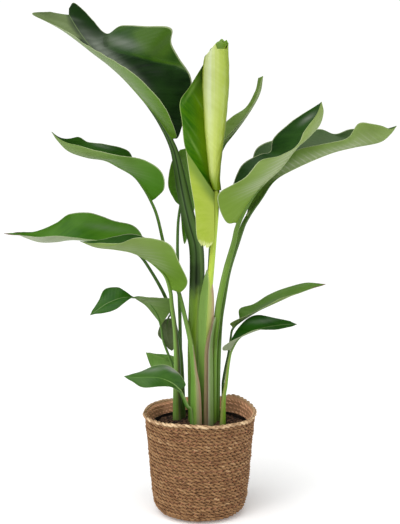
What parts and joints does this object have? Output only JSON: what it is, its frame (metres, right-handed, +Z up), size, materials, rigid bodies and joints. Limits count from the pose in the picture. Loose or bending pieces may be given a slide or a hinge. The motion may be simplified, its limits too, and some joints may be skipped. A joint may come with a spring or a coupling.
{
  "type": "potted bird of paradise plant",
  "caption": "Tall potted bird of paradise: broad keeled leaves on long stalks rise from a clump in a round woven seagrass basket.",
  "frame": {"origin": "centre of the basket's flat underside", "axes": "+Z up along the basket's axis; the fan of leaves spreads along X, with the longest left leaf towards -X and the right-hand pair towards +X; -Y is the viewed side"},
  "size_m": [0.8603, 0.253, 1.1089],
  "materials": {
    "leaf_deep_green": "satin",
    "leaf_green": "satin",
    "leaf_lime": "satin",
    "leaf_old": "matte",
    "stalk_green": "satin",
    "stalk_lime": "satin",
    "dry_sheath": "matte",
    "seagrass": "matte",
    "seagrass_pale": "matte",
    "pot_black": "satin",
    "potting_soil": "matte"
  },
  "bodies": {
    "root": {"basket": "seagrass", "basket_rim": "seagrass_pale", "grow_pot": "pot_black", "soil": "potting_soil", "stem_sheath": "dry_sheath", "leaf_top_left": "leaf_deep_green", "stalk_top_left": "stalk_green", "leaf_right_front": "leaf_deep_green", "stalk_right_front": "stalk_green", "leaf_right_back": "leaf_green", "stalk_right_back": "stalk_green", "leaf_back_right": "leaf_green", "stalk_back_right": "stalk_green", "leaf_left_upper": "leaf_green", "stalk_left_upper": "stalk_green", "leaf_left_long": "leaf_green", "stalk_left_long": "stalk_green", "leaf_left_front": "leaf_green", "stalk_left_front": "stalk_green", "leaf_left_twisted": "leaf_green", "stalk_left_twisted": "stalk_green", "leaf_low_front_left": "leaf_deep_green", "stalk_low_front_left": "stalk_green", "leaf_low_back_left": "leaf_green", "stalk_low_back_left": "stalk_green", "leaf_right_small_upper": "leaf_green", "stalk_right_small_upper": "stalk_green", "leaf_right_small_lower": "leaf_deep_green", "stalk_right_small_lower": "stalk_green", "leaf_hanging_small": "leaf_old", "stalk_hanging_small": "stalk_green", "leaf_back_left": "leaf_green", "stalk_back_left": "stalk_green", "leaf_new_rolled": "leaf_lime", "stalk_new_rolled": "stalk_lime"}
  },
  "joints": []
}
